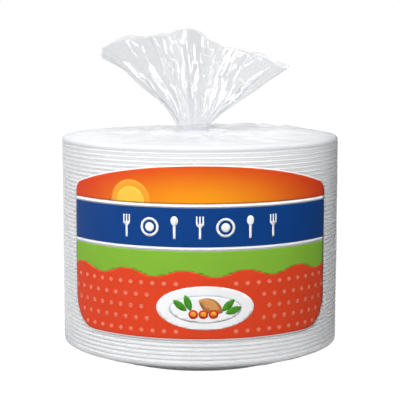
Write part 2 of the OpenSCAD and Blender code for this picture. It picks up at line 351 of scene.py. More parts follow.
def tree_with(name, inputs):
    """A tree with a named input for each value, and one for the piece's material."""
    tree = bpy.data.node_groups.new(name, "GeometryNodeTree")
    new_socket = tree.interface.new_socket
    new_socket("Geometry", in_out="INPUT", socket_type="NodeSocketGeometry")
    sockets = {}
    for label, value in {**inputs, "Material": None}.items():
        kind = "NodeSocket" + SOCKET_KINDS[type(value)]
        socket = new_socket(label, in_out="INPUT", socket_type=kind)
        if value is not None:
            socket.default_value = value
        sockets[label] = socket.identifier
    new_socket("Geometry", in_out="OUTPUT", socket_type="NodeSocketGeometry")
    source, result = tree.nodes.new("NodeGroupInput"), tree.nodes.new("NodeGroupOutput")
    return tree, sockets, source, result


def geometry_node(tree, kind):
    return tree.nodes.new("GeometryNode" + kind)


def end_tree(tree, geometry, material, result):
    """Every tree ends by making its instances real and giving them their material."""
    realized = geometry_node(tree, "RealizeInstances")
    painted = geometry_node(tree, "SetMaterial")
    tree.links.new(geometry, realized.inputs["Geometry"])
    join(tree, realized, "Geometry", painted, "Geometry")
    tree.links.new(material, painted.inputs["Material"])
    join(tree, painted, "Geometry", result, "Geometry")


def apply_tree(piece, tree, sockets, values):
    modifier = piece.modifiers.new(tree.name, "NODES")
    modifier.node_group = tree
    for label, value in values.items():
        modifier[sockets[label]] = value
    graph = bpy.context.evaluated_depsgraph_get()
    mesh = bpy.data.meshes.new_from_object(piece.evaluated_get(graph), depsgraph=graph)
    piece.modifiers.clear()
    old = piece.data
    piece.data = mesh
    bpy.data.meshes.remove(old)
    return piece


# %% The ridge tree
SLACK_FLOOR = 0.42
WALL_STARTS_R = PLATE_R - 4 * MM


def ridge_tree():
    tree, sockets, source, result = tree_with(
        "ridges",
        {
            "Pitch": PITCH,
            "Phase": RIDGE_PHASE,
            "Depth": 0.2 * MM,
            "Low": RIDGE_PHASE,
            "High": STACK_TOP,
            "Slack": 1.3 * MM,
            "Seed": 4.0,
        },
    )
    ends, link = source.outputs, tree.links.new
    new, calc = partial(geometry_node, tree), partial(math_node, tree)
    place = new("InputPosition").outputs["Position"]
    split = add(tree, "SeparateXYZ")
    link(place, split.inputs["Vector"])
    plates_up = calc("DIVIDE", calc("SUBTRACT", split.outputs["Z"], ends["Phase"]), ends["Pitch"])
    wave = calc("COSINE", calc("MULTIPLY", plates_up, math.tau))
    dip = calc("MULTIPLY", calc("SUBTRACT", 1.0, wave), 0.5)
    dip = calc("MULTIPLY", dip, ends["Depth"])
    above = calc("GREATER_THAN", split.outputs["Z"], ends["Low"])
    below = calc("LESS_THAN", split.outputs["Z"], ends["High"])
    dip = calc("MULTIPLY", dip, calc("MULTIPLY", above, below))
    noise = add(tree, "TexNoise", {"noise_dimensions": "4D"}, Scale=16.0, Detail=1.0)
    link(place, noise.inputs["Vector"])
    link(ends["Seed"], noise.inputs["W"])
    slack = calc("MAXIMUM", calc("SUBTRACT", noise.outputs["Fac"], SLACK_FLOOR), 0.0)
    slack = calc("MULTIPLY", slack, calc("MULTIPLY", ends["Slack"], above))
    move = calc("SUBTRACT", slack, dip)
    flat = add(tree, "CombineXYZ")
    join(tree, split, "X", flat, "X")
    join(tree, split, "Y", flat, "Y")
    radius = add(tree, "VectorMath", {"operation": "LENGTH"})
    join(tree, flat, "Vector", radius, 0)
    share = calc("DIVIDE", move, calc("MAXIMUM", radius.outputs["Value"], MM))
    near_wall = calc("GREATER_THAN", radius.outputs["Value"], WALL_STARTS_R)
    share = calc("MULTIPLY", share, near_wall)
    shift = add(tree, "VectorMath", {"operation": "SCALE"})
    join(tree, flat, "Vector", shift, 0)
    link(share, shift.inputs["Scale"])
    shifted = new("SetPosition")
    link(ends["Geometry"], shifted.inputs["Geometry"])
    join(tree, shift, "Vector", shifted, "Offset")
    end_tree(tree, shifted.outputs["Geometry"], ends["Material"], result)
    return tree, sockets


RIDGES, RIDGE_SOCKETS = ridge_tree()


def follow_ridges(piece, material):
    return apply_tree(piece, RIDGES, RIDGE_SOCKETS, {"Material": material})


print("ridge tree inputs:", ", ".join(RIDGE_SOCKETS))

# %% [markdown]
# ## The film bag
# One sheet of film runs from the middle of the base, up the wall, over the rim, in to
# the neck and out again to the mouth of the fan. It is built as a grid of rings: each
# ring goes once round the bag, and the rings follow each other along the film. The
# folds are waves round the ring with sharp crests, as thin film makes, and they grow
# and wander along the film. Handled film also breaks into small flat facets with
# straight creases between them, and those are what glints in the light.

# %% Rings and folds
WALL_ROUND, TOP_ROUND, FAN_ROUND = 120, 240, 480
PLEATS, PLEAT_SHARES, PLEAT_PHASES, PLEAT_H = (30, 47), (0.7, 0.3), (0.0, 1.0), 0.7 * MM


def turns(count):
    return np.linspace(0, math.tau, count, endpoint=False)


def crest(phase):
    """A wave with sharp crests and hollows, from -1 to 1."""
    return np.arcsin(0.97 * np.sin(phase)) / math.asin(0.97)


def folds(angles, counts, shares, phases):
    total = np.zeros(len(angles))
    for count, share, phase in zip(counts, shares, phases):
        total += share * crest(count * angles + phase)
    return total


def ring(angles, radius, height, centre_x=0.0):
    radius = np.broadcast_to(radius, len(angles))
    height = np.broadcast_to(height, len(angles))
    return np.stack([centre_x + radius * np.cos(angles), radius * np.sin(angles), height], axis=1)


# %% Creases in thin film
def facets(angles, along, across_count, along_count, seed):
    """Flat triangles with random corners, from -1 to 1, and straight creases between."""
    corners = np.random.default_rng(seed).uniform(-1, 1, (along_count + 3, across_count))
    u = (angles / math.tau + 0.012 * np.sin(3 * angles + 5 * along)) * across_count
    v = np.clip(along * along_count + 0.35 * np.sin(5 * angles + seed), 0, along_count + 1)
    i, j = np.floor(u).astype(int), np.floor(v).astype(int)
    fu, fv = u - i, v - j
    i, n = i % across_count, (i + 1) % across_count
    a, b, c, d = corners[j, i], corners[j, n], corners[j + 1, i], corners[j + 1, n]
    near = a + fu * (b - a) + fv * (c - a)
    far = d + (1 - fu) * (c - d) + (1 - fv) * (b - d)
    return np.where(fu + fv < 1, near, far)


# %% Base and wall
HEM_CORNER = LOWEST_EDGE - 2.3 * MM
SHOULDER = 3.0 * MM
SHOULDER_R = FILM_R - SHOULDER
SHOULDER_Z = STACK_TOP - 2.2 * MM


def base_rings():
    """The flat base, the slanted hem up to the lowest plate's edge, and its corner."""
    angles = turns(WALL_ROUND)
    rings = [ring(angles, r, 0.0) for r in np.linspace(0.12, 1.0, 7) * FOOT_R]
    for t in (0.12, 0.3, 0.5, 0.7, 0.88):
        slack = 0.5 * MM * math.sin(math.pi * t) * crest(19 * angles + 9 * t)
        radius = FOOT_R + (FILM_R - FOOT_R) * t
        rings.append(ring(angles, radius, HEM_CORNER * t + slack))
    rings.append(ring(angles, FILM_R - 1.0 * MM, HEM_CORNER))
    rings.append(ring(angles, FILM_R - 0.3 * MM, HEM_CORNER + 0.4 * MM))
    rings.append(ring(angles, FILM_R - 0.2 * MM, LOWEST_EDGE - 0.1 * MM))
    return rings


def wall_rings():
    """One ring on each plate's edge, and one in the dip above it."""
    steps = int((SHOULDER_Z - RIDGE_PHASE) / (PITCH / 2)) + 1
    heights = [RIDGE_PHASE + step * PITCH / 2 for step in range(steps)]
    return [ring(turns(WALL_ROUND), FILM_R, z) for z in heights]


# %% Gathered top
TOP_FOLDS, TOP_SHARES, TOP_FOLD_H = (13, 22, 37), (0.5, 0.32, 0.18), 3.2 * MM
TOP_CREASE_H = 0.9 * MM
MOUND_H, MOUND_PLEAT_H = 2.6 * MM, 0.5 * MM
HEAP_H = 3.4 * MM
HEAP_TURN, HEAP_SPAN = 0.95, 0.62
HEAP_INWARD, HEAP_REACH = 0.13, 0.1
NECK_LOW, NECK_TOP = NECK_Z - TIE_W / 2, NECK_Z + TIE_W / 2


def top_rings():
    """Over the rim, then in to the neck. The folds rise on the slack right side, to a
    heap of loose film near the back rim, and the film mounds up round the neck."""
    angles = turns(TOP_ROUND)
    rings = []
    for a in np.radians((25, 50, 72, 90)):
        r, z = SHOULDER_R + SHOULDER * math.cos(a), SHOULDER_Z + SHOULDER * math.sin(a)
        rings.append(ring(angles, r, z))
    top_z = SHOULDER_Z + SHOULDER
    right = 0.5 + 0.5 * np.cos(angles - 0.35)
    pleats = folds(angles, PLEATS, PLEAT_SHARES, PLEAT_PHASES)
    heap_round = np.exp(-(((angles - HEAP_TURN) / HEAP_SPAN) ** 2))
    for t in np.linspace(0.04, 0.985, 26):
        phases = (0.4 + 1.3 * t, 2.1 - 1.7 * t, 5.0 + 2.2 * t)
        lift = (1 + folds(angles, TOP_FOLDS, TOP_SHARES, phases)) / 2
        depth = TOP_FOLD_H * math.sin(math.pi * t**0.7) ** 1.2 * (0.25 + 0.95 * right)
        mound = math.exp(-(((1 - t) / 0.14 - 0.5) ** 2)) * np.clip((1 - t) / 0.05, 0, 1)
        heap = heap_round * math.exp(-(((t - HEAP_INWARD) / HEAP_REACH) ** 2))
        height = top_z + (NECK_LOW - top_z) * t**3 + depth * lift
        height += (MOUND_H + MOUND_PLEAT_H * pleats) * mound
        height += TOP_CREASE_H * math.sin(math.pi * t) * facets(angles, t, 34, 9, 3)
        height += HEAP_H * heap * (0.55 + 0.45 * facets(angles, t, 52, 12, 6))
        radius = SHOULDER_R + (NECK_R + PLEAT_H * pleats * t**6 - SHOULDER_R) * t
        rings.append(ring(angles, radius, height, NECK_X * t))
    return rings


# %% Neck and fan
FAN_RINGS = 50
BACK_LEAN, SIDE_LEAN, RIGHT_LEAN = 22, 27.5, 1.5
FAN_SPAN = 87 * MM
FAN_LAG, LEFT_LAG = 0.08, 0.17
BROAD_H, MIDDLE_H, FINE_H = 5.0 * MM, 1.7 * MM, 0.5 * MM
# Each layer of creases: height, how it grows up the fan, counts round and up, seed.
FAN_CREASES = [
    (2.2 * MM, 0.6, 24, 3, 8),
    (0.9 * MM, 0.5, 60, 6, 9),
    (0.25 * MM, 0.5, 130, 14, 12),
]
# The mouth's line seen from the front, in millimetres: across, and up from the neck.
MOUTH_X = [-83, -76, -68, -58, -45, -27, -16, -8, 2, 12, 26, 40, 52, 60, 66, 73]
MOUTH_UP = [57, 66, 71, 74, 75, 76, 79, 81, 77, 71, 65, 62, 60, 57, 53, 52]


def fan_sizes(angles):
    """How far each part of the fan leans out, its length, and how late it starts to lean."""
    across = np.cos(angles)
    lean = np.radians(BACK_LEAN + (SIDE_LEAN + RIGHT_LEAN * across) * across**4)
    mouth_x = NECK_X + (NECK_R + FAN_SPAN * np.sin(lean)) * across
    jagged = 0.8 * crest(3 * angles + 0.6) + 0.5 * crest(17 * angles + 1.0)
    up = np.interp(mouth_x / MM, MOUTH_X, MOUTH_UP) + jagged
    return lean, up * MM / np.cos(lean), FAN_LAG + LEFT_LAG * np.maximum(0, -across) ** 2


# Narrow folds that run up the fan. Each has a place, drift, start, end, height and width
# drawn from these ranges, the last two in millimetres.
PINCH_RANGES = [(0, math.tau), (-0.3, 0.3), (-0.2, 0.35), (0.6, 1.3), (0.8, 2.6), (1.8, 4.0)]
draw = np.random.default_rng(11).uniform
PINCHES = [[draw(low, high) for low, high in PINCH_RANGES] for _ in range(42)]


def pinches(angles, s, reach):
    total = np.zeros(len(angles))
    for place, drift, start, end, height, width in PINCHES:
        part = min(1, max(0, (s - start) / (end - start)))
        window = max(0.0, math.sin(math.pi * part)) ** 0.7
        gap = (angles - place - drift * s + math.pi) % math.tau - math.pi
        total += window * height * MM * np.maximum(0, 1 - np.abs(gap) * reach / (width * MM))
    return total


def neck_rings():
    angles = turns(TOP_ROUND)
    pleats = folds(angles, PLEATS, PLEAT_SHARES, PLEAT_PHASES)
    heights = np.linspace(NECK_LOW, NECK_TOP, 5)
    return [ring(angles, NECK_R + PLEAT_H * pleats, z, NECK_X) for z in heights]


def fan_rings():
    angles = turns(FAN_ROUND)
    lean, length, lag = fan_sizes(angles)
    rings = []
    for s in np.linspace(0.02, 1, FAN_RINGS):
        start = 1 - np.exp(-s / lag)
        spread = (s - lag * start) / (1 - lag)
        reach = NECK_R + length * np.sin(lean) * spread
        broad = 0.55 * np.sin(5 * angles + 1.1 + 0.9 * s)
        broad += 0.45 * np.sin(8 * angles + 3.9 - 0.8 * s)
        middle = folds(angles, (13, 19), (0.6, 0.4), (0.3 + 1.6 * s, 2.2 - 1.1 * s))
        fine = folds(angles, PLEATS, PLEAT_SHARES, (0.7 * s, 1.0))
        depth = BROAD_H * s**1.1 * broad + MIDDLE_H * math.sin(math.pi * s**0.6) * middle
        depth += FINE_H * (1 - s) ** 3 * fine + pinches(angles, s, reach)
        for crease_h, growth, across_count, along_count, seed in FAN_CREASES:
            depth += crease_h * s**growth * facets(angles, s, across_count, along_count, seed)
        tilt = lean * start
        height = NECK_TOP + length * np.cos(lean) * s - depth * np.sin(tilt)
        rings.append(ring(angles, reach + depth * np.cos(tilt), height, NECK_X))
    return rings


# %% Join the rings
def joined_rings(a, count_a, b, count_b):
    """Faces between two rings, where the second may have twice the points."""
    faces = []
    for i in range(count_a):
        n = (i + 1) % count_a
        if count_a == count_b:
            faces.append((a + i, a + n, b + n, b + i))
        else:
            left, middle, right = b + 2 * i, b + 2 * i + 1, b + 2 * n
            faces += [(a + i, a + n, middle), (a + n, right, middle), (a + i, middle, left)]
    return faces


def rings_mesh(name, rings, shares):
    """One mesh from the base's middle to the last ring, with a value for each ring."""
    starts = np.cumsum([0] + [len(r) for r in rings])
    hub = int(starts[-1])
    verts = np.concatenate(rings).tolist() + [[0, 0, 0]]
    faces = [(hub, (i + 1) % len(rings[0]), i) for i in range(len(rings[0]))]
    for j in range(len(rings) - 1):
        low, high = rings[j], rings[j + 1]
        faces += joined_rings(int(starts[j]), len(low), int(starts[j + 1]), len(high))
    piece = smooth_piece(name, verts, faces)
    for label, share in shares.items():
        values = [np.broadcast_to(value, len(r)) for value, r in zip(share, rings)]
        values = np.concatenate(values + [[0.0]])
        attribute = piece.data.attributes.new(label, "FLOAT", "POINT")
        attribute.data.foreach_set("value", values)
    return piece


# %% Sharp creases
def sharpen(piece, above, angle):
    """Marks the fan's creases as sharp, so that a flat facet shades as a flat one."""
    bm = bmesh.new()
    bm.from_mesh(piece.data)
    sharp = 0
    for edge in bm.edges:
        if len(edge.link_faces) == 2 and min(v.co.z for v in edge.verts) > above:
            edge.smooth = edge.calc_face_angle() < angle
            sharp += not edge.smooth
    bm.to_mesh(piece.data)
    bm.free()
    print("sharp creases:", sharp)


# %% The film's looks along its length
# On the plates' crests the haze stays below 0.25 and the roughness below 0.27, so that
# the picture's noise filter still finds the ridges under the film.
HEM_HAZE, EDGE_HAZE, CREST_HAZE, DIP_HAZE, RIM_HAZE = 0.22, 0.6, 0.14, 0.36, 0.42
NECK_HAZE, FAN_HAZE = 0.23, 0.06
BODY_ROUGH, NECK_ROUGH, FAN_ROUGH = 0.26, 0.15, 0.04
# Painted shade: the last wall ring and the rounded shoulder over the rim take the darker tones,
# to tone down the bright band that the lamps light there.
RIM_PAINTED_SHADE = [1.0] * 4 + [0.5] * 2
TOP_CROWD, NECK_CROWD, FAN_CROWD = 0.3, 0.7, 1.0
TIGHT_CLEARS, HIGH_CLOUDS = 0.25, 0.6


def between(start, end, share):
    return list(start + (end - start) * share)


def wall_haze(step, up):
    """Clearer where the film touches an edge, low down, and on the tight left side."""
    tight = 0.5 - 0.5 * np.cos(turns(WALL_ROUND))
    here = DIP_HAZE if step % 2 else CREST_HAZE
    return here * (1 - TIGHT_CLEARS * tight**2) * (1 + HIGH_CLOUDS * up**8)


def build_film():
    """All rings, each with its haze, its crowding (painted shade on the rim's shoulder) and the
    roughness of its gloss.
    """
    low, wall, top = base_rings(), wall_rings(), top_rings()
    neck, fan = neck_rings(), fan_rings()
    near_neck = np.linspace(0, 1, len(top)) ** 2
    fade = np.exp(-np.linspace(0, 1, len(fan)) / 0.2)
    haze = [HEM_HAZE] * (len(low) - 2) + [EDGE_HAZE] * 2
    haze += [wall_haze(step, step / len(wall)) for step in range(len(wall))]
    haze += between(RIM_HAZE, NECK_HAZE, near_neck)
    haze += [NECK_HAZE] * len(neck)
    haze += between(FAN_HAZE, NECK_HAZE, fade)
    # The rim's shoulder gets painted shade through the crowding value.
    crowd_and_shade = [0.0] * (len(low) + len(wall) - 1) + RIM_PAINTED_SHADE
    crowd_and_shade += between(0.0, TOP_CROWD, near_neck[len(RIM_PAINTED_SHADE) - 1:])
    crowd_and_shade += [NECK_CROWD] * len(neck)
    crowd_and_shade += between(FAN_CROWD, NECK_CROWD, fade)
    rough = [BODY_ROUGH] * (len(low) + len(wall) + len(top)) + [NECK_ROUGH] * len(neck)
    rough += between(FAN_ROUGH, NECK_ROUGH, fade)
    shares = {"haze": haze, "crowd_and_shade": crowd_and_shade, "rough": rough}
    return rings_mesh("film_bag", low + wall + top + neck + fan, shares)


film = follow_ridges(build_film(), FILM)
sharpen(film, above=NECK_TOP + 8 * MM, angle=math.radians(13))
thicken(film, 0.1 * MM)
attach(film, "root")
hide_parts("bag")
print("film points:", len(film.data.vertices), "faces:", len(film.data.polygons))

# %% [markdown]
# ## The printed panel
# The artwork is drawn flat, in millimetres, up from the middle of the panel's lower
# edge. Each shape is filled with a mesh that has points inside it as well as on its
# outline, so that it can bend, then it is wrapped round the stack and sent through the
# ridge tree, like the film under it.

# %% Artwork helpers
ART_H = 131.0
ART = (PANEL_TOP - PANEL_LOW) / ART_H
INK_R = FILM_R + 0.12 * MM
INK_LAYER = 0.07 * MM
HALF_TURN = math.radians(59.5)
STEP_X = 4.0
ART_HALF = INK_R * HALF_TURN / ART
BORDER = 1.0
DOTTED_H, RIBBON_H, LINE_H, BAND_H = 50.0, 17.0, 3.0, 29.0
LINE_Y = DOTTED_H + RIBBON_H
BAND_Y = LINE_Y + LINE_H
UPPER_LINE_Y = BAND_Y + BAND_H
FIELD_Y = UPPER_LINE_Y + LINE_H


def arc(cx, cy, r, a0, a1, steps):
    turn = np.radians(np.linspace(a0, a1, steps + 1))
    return np.stack([cx + r * np.cos(turn), cy + r * np.sin(turn)], axis=1)


def oval(cx, cy, a, b, steps):
    turn = np.linspace(0, math.tau, steps, endpoint=False)
    return np.stack([cx + a * np.cos(turn), cy + b * np.sin(turn)], axis=1)


def moved(outline, x, y, turn=0.0):
    c, s = math.cos(math.radians(turn)), math.sin(math.radians(turn))
    return outline @ np.array([[c, s], [-s, c]]) + [x, y]


def fill(outline):
    """A mesh inside an outline, with an edge along each row that the ridge tree bends."""
    step_y = PITCH / 2 / ART
    first = (RIDGE_PHASE - PANEL_LOW) / ART
    low, high = outline.min(0), outline.max(0)
    columns = range(math.floor(low[0] / STEP_X), math.ceil(high[0] / STEP_X) + 1)
    lowest, highest = (low[1] - first) / step_y, (high[1] - first) / step_y
    rows = range(math.ceil(lowest), math.floor(highest) + 1)
    points, edges = [], []
    for a, b in zip(outline, np.roll(outline, -1, axis=0)):
        parts = max(1, int(np.linalg.norm(b - a) / STEP_X))
        points += [Vector(a + (b - a) * t / parts) for t in range(parts)]
    border = list(range(len(points)))
    for row in rows:
        for i, column in enumerate(columns):
            if i:
                edges.append((len(points) - 1, len(points)))
            points.append(Vector((column * STEP_X, first + row * step_y)))
    verts, _, faces, _, _, inside = delaunay_2d_cdt(points, edges, [border], 0, 1e-5)
    kept = [tuple(face) for face, source in zip(faces, inside) if source]
    return np.array([list(v) for v in verts]), kept


def wrapped(x, y, layer):
    """The place on the film of a point in the flat artwork."""
    turn = x * ART / INK_R
    radius = INK_R + layer * INK_LAYER
    return radius * math.sin(turn), -radius * math.cos(turn), PANEL_LOW + y * ART


def ink_piece(name, layer, outlines, material, node=None):
    """Fills the outlines and wraps them at one layer over the film, as one piece."""
    verts, faces = [], []
    for outline in outlines:
        points, triangles = fill(np.asarray(outline, float))
        used = sorted({i for t in triangles for i in t})
        index = {old: len(verts) + new for new, old in enumerate(used)}
        verts += [wrapped(x, y, layer) for x, y in points[used]]
        faces += [tuple(index[i] for i in t) for t in triangles]
    piece = smooth_piece(name, verts, faces)
    follow_ridges(piece, material)
    thicken(piece, 0.04 * MM)
    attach(piece, "root")
    if node:
        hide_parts(node)
    print(f"{name}: {len(outlines)} shapes, {len(faces)} triangles")


# %% Panel outline
ARCH_RISE = 18.5
ARCH_R = (ART_HALF**2 + ARCH_RISE**2) / (2 * ARCH_RISE)
ARCH_Y = ART_H - ARCH_R
TOP_CORNER, LOW_CORNER = 10.0, 25.0


def panel_outline(inset):
    w, big = ART_HALF - inset, ARCH_R - inset
    top_r, low_r = TOP_CORNER - inset, LOW_CORNER - inset
    top_x = w - top_r
    rise = math.sqrt((big - top_r) ** 2 - top_x**2)
    lean = math.degrees(math.atan2(rise, top_x))
    return np.concatenate(
        [
            arc(-w + low_r, LOW_CORNER, low_r, 180, 270, 12),
            arc(w - low_r, LOW_CORNER, low_r, 270, 360, 12),
            arc(top_x, ARCH_Y + rise, top_r, 0, lean, 10),
            arc(0, ARCH_Y, big, lean, 180 - lean, 60)[1:-1],
            arc(-top_x, ARCH_Y + rise, top_r, 180 - lean, 180, 10),
        ]
    )


def clipped(outline, low, high):
    """The part of a convex outline between two heights."""
    for limit, keep in ((low, 1), (high, -1)):
        kept = []
        for a, b in zip(outline, np.roll(outline, -1, axis=0)):
            inside_a, inside_b = keep * (a[1] - limit) >= 0, keep * (b[1] - limit) >= 0
            if inside_a:
                kept.append(a)
            if inside_a != inside_b:
                kept.append(a + (b - a) * (limit - a[1]) / (b[1] - a[1]))
        outline = np.array(kept)
    return outline


INNER = panel_outline(BORDER)
print("panel:", round(2 * ART_HALF), "mm wide,", round(ART_H), "mm high")

# %% Colour fields
WAVES, WAVE_H = 5, 2.5
FIELD_HALF = ART_HALF - BORDER


def wavy_line():
    x = np.linspace(-FIELD_HALF, FIELD_HALF, 91)
    wave = np.sin(math.tau * WAVES * (x / ART_HALF + 1) / 2)
    return np.stack([x, DOTTED_H + WAVE_H * wave], axis=1)


def ribbon_outline():
    return np.concatenate([wavy_line(), [[FIELD_HALF, LINE_Y], [-FIELD_HALF, LINE_Y]]])


def dotted_outline():
    low = clipped(INNER, -1, DOTTED_H - WAVE_H - 0.5)
    lower_edge = [p for p in low if p[1] < DOTTED_H - WAVE_H - 1]
    lower_edge.sort(key=lambda p: math.atan2(p[1] - DOTTED_H, p[0]))
    return np.concatenate([lower_edge, wavy_line()[::-1]])


upper = clipped(INNER, FIELD_Y, ART_H)
band = clipped(INNER, BAND_Y, UPPER_LINE_Y)
silver = [clipped(INNER, LINE_Y, BAND_Y), clipped(INNER, UPPER_LINE_Y, FIELD_Y)]
shine_y = ((LINE_Y + 1, BAND_Y - 0.7), (UPPER_LINE_Y + 1, FIELD_Y - 0.4))
shine = [clipped(INNER, low, high) for low, high in shine_y]
ink_piece("ink_border", -0.6, [panel_outline(0)], WHITE, "print_border")
ink_piece("ink_upper_field", 0, [upper], RED, "print_red")
ink_piece("ink_dotted_field", 0, [dotted_outline()], CORAL)
ink_piece("ink_ribbon", 0, [ribbon_outline()], GREEN, "print_green")
ink_piece("ink_lines", 0, silver, SHADE, "print_grey")
ink_piece("ink_line_shine", 1, shine, WHITE)
ink_piece("ink_band", 0, [band], BLUE, "print_blue")

# %% [markdown]
# ## Small motifs
# The motifs are plain shapes that could be on any pack of party plates: forks, rings
# and spoons in a row, half a sun, and an oval plate with simple food on it.


# %% Motif outlines
def leaf(length, width):
    r = (length**2 + width**2) / (4 * width)
    half = math.degrees(math.asin(length / 2 / r))
    right = arc(width / 2 - r, 0, r, -half, half, 10)
    left = arc(r - width / 2, 0, r, 180 - half, 180 + half, 10)
    return np.concatenate([right[:-1], left[:-1]])


def fork(h):
    outline = [(-0.9, 0), (0.9, 0), (0.8, h * 0.5), (2.9, h * 0.62), (2.9, h), (1.8, h)]
    outline += [(1.8, h * 0.68), (0.6, h * 0.68), (0.6, h), (-0.6, h), (-0.6, h * 0.68)]
    outline += [(-1.8, h * 0.68), (-1.8, h), (-2.9, h), (-2.9, h * 0.62), (-0.8, h * 0.5)]
    return np.array(outline)


def spoon(h):
    bowl = oval(0, h * 0.79, 2.8, h * 0.21, 32)
    low = [p for p in np.roll(bowl, 8, axis=0) if p[1] > h * 0.6 or abs(p[0]) > 0.8]
    return np.concatenate([[(-0.9, 0), (0.9, 0)], low])


def half_ring(r, inner, side):
    a0, a1 = (-90, 90) if side > 0 else (90, 270)
    return np.concatenate([arc(0, 0, r, a0, a1, 20), arc(0, 0, inner, a1, a0, 20)])


# %% White icons and the pictured plate
ICON_H = BAND_H - 12
ICON_PITCH = 19.0
ICONS = 7
DISH_X, DISH_A, DISH_B = 4.0, 37.0, 16.5
DISH_Y = DOTTED_H - DISH_B - 9


def icon_shapes():
    shapes = []
    low = BAND_Y + (BAND_H - ICON_H) / 2
    for i in range(ICONS):
        x = (i - (ICONS - 1) / 2) * ICON_PITCH
        if i % 3 == 0:
            shapes.append(moved(fork(ICON_H), x, low))
        elif i % 3 == 1:
            for side in (-1, 1):
                shapes.append(moved(half_ring(7.1, 5.3, side), x, low + ICON_H / 2))
            shapes.append(moved(oval(0, 0, 3.4, 3.4, 32), x, low + ICON_H / 2))
        else:
            shapes.append(moved(spoon(ICON_H), x, low))
    return shapes


dish = oval(DISH_X, DISH_Y, DISH_A, DISH_B, 72)
well = oval(DISH_X, DISH_Y - 0.4, DISH_A * 0.74, DISH_B * 0.66, 64)
dish_floor = oval(DISH_X, DISH_Y - 1.0, DISH_A * 0.71, DISH_B * 0.6, 64)
ink_piece("ink_white", 1, icon_shapes() + [dish], WHITE, "print_white")
ink_piece("ink_dish_well", 2, [well], SHADE)
ink_piece("ink_dish_floor", 3, [dish_floor], WHITE)

# %% Food and sun
# Each leaf's place on the dish, and its turn in degrees.
LEAF_PLACES = ((-19, 2, 52), (-13, 4, 20), (17, 2, -48), (21, -2, -70))
SLICE_XS, SLICE_Y = (-9, -1.5, 6), -4.5
SUN_X = -54

leaves = [moved(leaf(13, 5.5), DISH_X + x, DISH_Y + y, t) for x, y, t in LEAF_PLACES]
loaf = moved(leaf(20, 11), DISH_X + 4, DISH_Y + 1.5, 62)
crust = moved(leaf(17, 7.5), DISH_X + 3.2, DISH_Y + 2.3, 62)
slices = [oval(DISH_X + x, DISH_Y + SLICE_Y, 3.6, 3.4, 28) for x in SLICE_XS]
cores = [oval(DISH_X + x, DISH_Y + SLICE_Y, 2.2, 2.0, 24) for x in SLICE_XS]
sun = clipped(oval(SUN_X, FIELD_Y, 17, 17, 64), FIELD_Y, ART_H)
sun_core = clipped(oval(SUN_X, FIELD_Y, 12, 12, 48), FIELD_Y, ART_H)
ink_piece("ink_leaves", 4, leaves, LEAF)
ink_piece("ink_loaf", 5, [loaf], BROWN)
ink_piece("ink_crust", 6, [crust], CRUST)
ink_piece("ink_slices", 7, slices, TOMATO)
ink_piece("ink_slice_cores", 8, cores, GOLD)
ink_piece("ink_sun", 1, [sun], GOLD, "print_yellow")
ink_piece("ink_sun_core", 2, [sun_core], YELLOW)

# %% [markdown]
# ## Rows of dots
# The dots repeat, so Geometry Nodes lay them out: a grid of points in the flat artwork,
# every second row moved half a step, the points that would touch the pictured plate or
# the panel's corners taken away, and one small disc put on each point that is left.

# %% The dot tree
DOT_R, DOT_STEP, DOT_SIDES, DOT_LAYER = 1.7, 9.0, 14, 1.2
FIRST_ROW_Y = BORDER + 0.6 * DOT_STEP
CORNER_REACH = LOW_CORNER - BORDER - DOT_R


